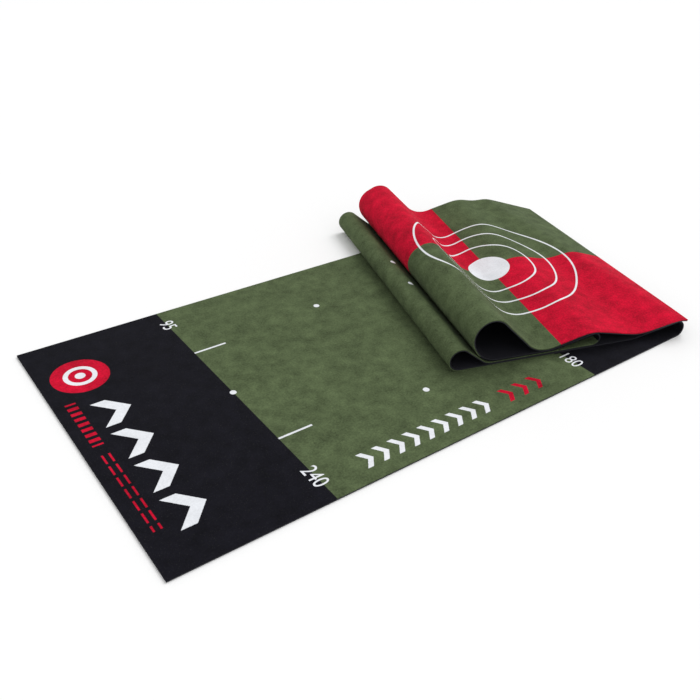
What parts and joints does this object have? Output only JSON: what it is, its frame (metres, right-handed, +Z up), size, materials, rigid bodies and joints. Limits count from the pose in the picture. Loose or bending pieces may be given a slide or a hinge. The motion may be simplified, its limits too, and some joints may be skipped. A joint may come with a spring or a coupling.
{
  "type": "practice putting mat",
  "caption": "Long printed putting mat with a pile face on a rubber backing, put away folded over itself in five layers and unfolding flat for practice.",
  "frame": {"origin": "on the underside, below the tee spot in the middle of the mat's width", "axes": "+X along the mat from the tee line towards the target, +Y to the left of a player who faces the target, +Z up"},
  "size_m": [1.3547, 0.7843, 0.1153],
  "materials": {
    "printed_pile": "short dense tufted pile, matte, printed in moss green, navy, red and white",
    "rubber_backing": "fine textured black rubber, matte"
  },
  "bodies": {
    "root": {"pile_near_panel": "printed_pile", "backing_near_panel": "rubber_backing", "pile_first_fold": "printed_pile", "backing_first_fold": "rubber_backing"},
    "first_slope": {"pile_first_slope": "printed_pile", "backing_first_slope": "rubber_backing"},
    "second_panel": {"pile_second_panel": "printed_pile", "backing_second_panel": "rubber_backing", "pile_second_fold": "printed_pile", "backing_second_fold": "rubber_backing"},
    "second_slope": {"pile_second_slope": "printed_pile", "backing_second_slope": "rubber_backing"},
    "third_panel": {"pile_third_panel": "printed_pile", "backing_third_panel": "rubber_backing", "pile_third_fold": "printed_pile", "backing_third_fold": "rubber_backing"},
    "third_slope": {"pile_third_slope": "printed_pile", "backing_third_slope": "rubber_backing"},
    "fourth_panel": {"pile_fourth_panel": "printed_pile", "backing_fourth_panel": "rubber_backing"},
    "roll_side": {"pile_roll_side": "printed_pile", "backing_roll_side": "rubber_backing"},
    "roll_crown": {"pile_roll_crown": "printed_pile", "backing_roll_crown": "rubber_backing"},
    "roll_descent": {"pile_roll_descent": "printed_pile", "backing_roll_descent": "rubber_backing"},
    "target_valley": {"pile_target_valley": "printed_pile", "backing_target_valley": "rubber_backing"},
    "target_crest": {"pile_target_crest": "printed_pile", "backing_target_crest": "rubber_backing"},
    "target_dip": {"pile_target_dip": "printed_pile", "backing_target_dip": "rubber_backing"},
    "target_corner": {"pile_target_corner": "printed_pile", "backing_target_corner": "rubber_backing"}
  },
  "joints": [
    {"name": "first_fold_hinge", "type": "hinge", "parent": "root", "child": "first_slope", "pos_m": [0.9167, -0.0007, 0.01659], "axis": [0.1461, 0.9893, 0], "range_deg": [0, 193], "deforming": ["pile_first_fold", "backing_first_fold"]},
    {"name": "first_ease_hinge", "type": "hinge", "parent": "first_slope", "child": "second_panel", "pos_m": [0.8118, 0.03673, 0.0045], "axis": [-0.1461, -0.9893, 0], "range_deg": [0, 13]},
    {"name": "second_fold_hinge", "type": "hinge", "parent": "second_panel", "child": "second_slope", "pos_m": [0.4758, 0.13867, 0.03108], "axis": [-0.289, -0.9573, 0], "range_deg": [0, 219], "deforming": ["pile_second_fold", "backing_second_fold"]},
    {"name": "second_ease_hinge", "type": "hinge", "parent": "second_slope", "child": "third_panel", "pos_m": [0.53765, 0.11999, 0.01046], "axis": [0.289, 0.9573, 0], "range_deg": [0, 39]},
    {"name": "third_fold_hinge", "type": "hinge", "parent": "third_panel", "child": "third_slope", "pos_m": [0.76897, 0.05016, 0.02389], "axis": [0.289, 0.9573, 0], "range_deg": [0, 189.5], "deforming": ["pile_third_fold", "backing_third_fold"]},
    {"name": "third_ease_hinge", "type": "hinge", "parent": "third_slope", "child": "fourth_panel", "pos_m": [0.6753, 0.07844, 0.0131], "axis": [-0.289, -0.9573, 0], "range_deg": [0, 13]},
    {"name": "roll_foot_hinge", "type": "hinge", "parent": "fourth_panel", "child": "roll_side", "pos_m": [0.52685, 0.12361, 0.02337], "axis": [-0.2974, -0.9548, 0], "range_deg": [0, 72.6]},
    {"name": "roll_back_hinge", "type": "hinge", "parent": "roll_side", "child": "roll_crown", "pos_m": [0.50843, 0.12859, 0.08527], "axis": [-0.297, -0.9549, -0.0017], "range_deg": [0, 73]},
    {"name": "roll_top_hinge", "type": "hinge", "parent": "roll_crown", "child": "roll_descent", "pos_m": [0.5541, 0.11341, 0.11205], "axis": [-0.3145, -0.9492, -0.0117], "range_deg": [0, 70.4]},
    {"name": "valley_hinge", "type": "hinge", "parent": "roll_descent", "child": "target_valley", "pos_m": [0.65311, 0.08378, 0.02406], "axis": [0.3098, 0.9507, 0.0166], "range_deg": [0, 55]},
    {"name": "crest_hinge", "type": "hinge", "parent": "target_valley", "child": "target_crest", "pos_m": [0.76146, 0.04901, 0.05053], "axis": [-0.3098, -0.9507, -0.0166], "range_deg": [0, 28.7]},
    {"name": "dip_hinge", "type": "hinge", "parent": "target_crest", "child": "target_dip", "pos_m": [0.84167, 0.02533, 0.03069], "axis": [0.2127, 0.9763, 0.0393], "range_deg": [0, 25.5]},
    {"name": "droop_hinge", "type": "hinge", "parent": "target_dip", "child": "target_corner", "pos_m": [0.90094, 0.00539, 0.04636], "axis": [-0.1071, -0.9941, -0.0146], "range_deg": [0, 30.7]}
  ],
  "couplings": [
    {"joint": "first_fold_hinge", "follows": "second_fold_hinge", "ratio": 0.88128},
    {"joint": "first_ease_hinge", "follows": "second_fold_hinge", "ratio": 0.059361},
    {"joint": "second_ease_hinge", "follows": "second_fold_hinge", "ratio": 0.17808},
    {"joint": "third_fold_hinge", "follows": "second_fold_hinge", "ratio": 0.8653},
    {"joint": "third_ease_hinge", "follows": "second_fold_hinge", "ratio": 0.059361},
    {"joint": "roll_foot_hinge", "follows": "second_fold_hinge", "ratio": 0.33151},
    {"joint": "roll_back_hinge", "follows": "second_fold_hinge", "ratio": 0.33333},
    {"joint": "roll_top_hinge", "follows": "second_fold_hinge", "ratio": 0.32146},
    {"joint": "valley_hinge", "follows": "second_fold_hinge", "ratio": 0.25114},
    {"joint": "crest_hinge", "follows": "second_fold_hinge", "ratio": 0.13105},
    {"joint": "dip_hinge", "follows": "second_fold_hinge", "ratio": 0.11644},
    {"joint": "droop_hinge", "follows": "second_fold_hinge", "ratio": 0.14018}
  ]
}
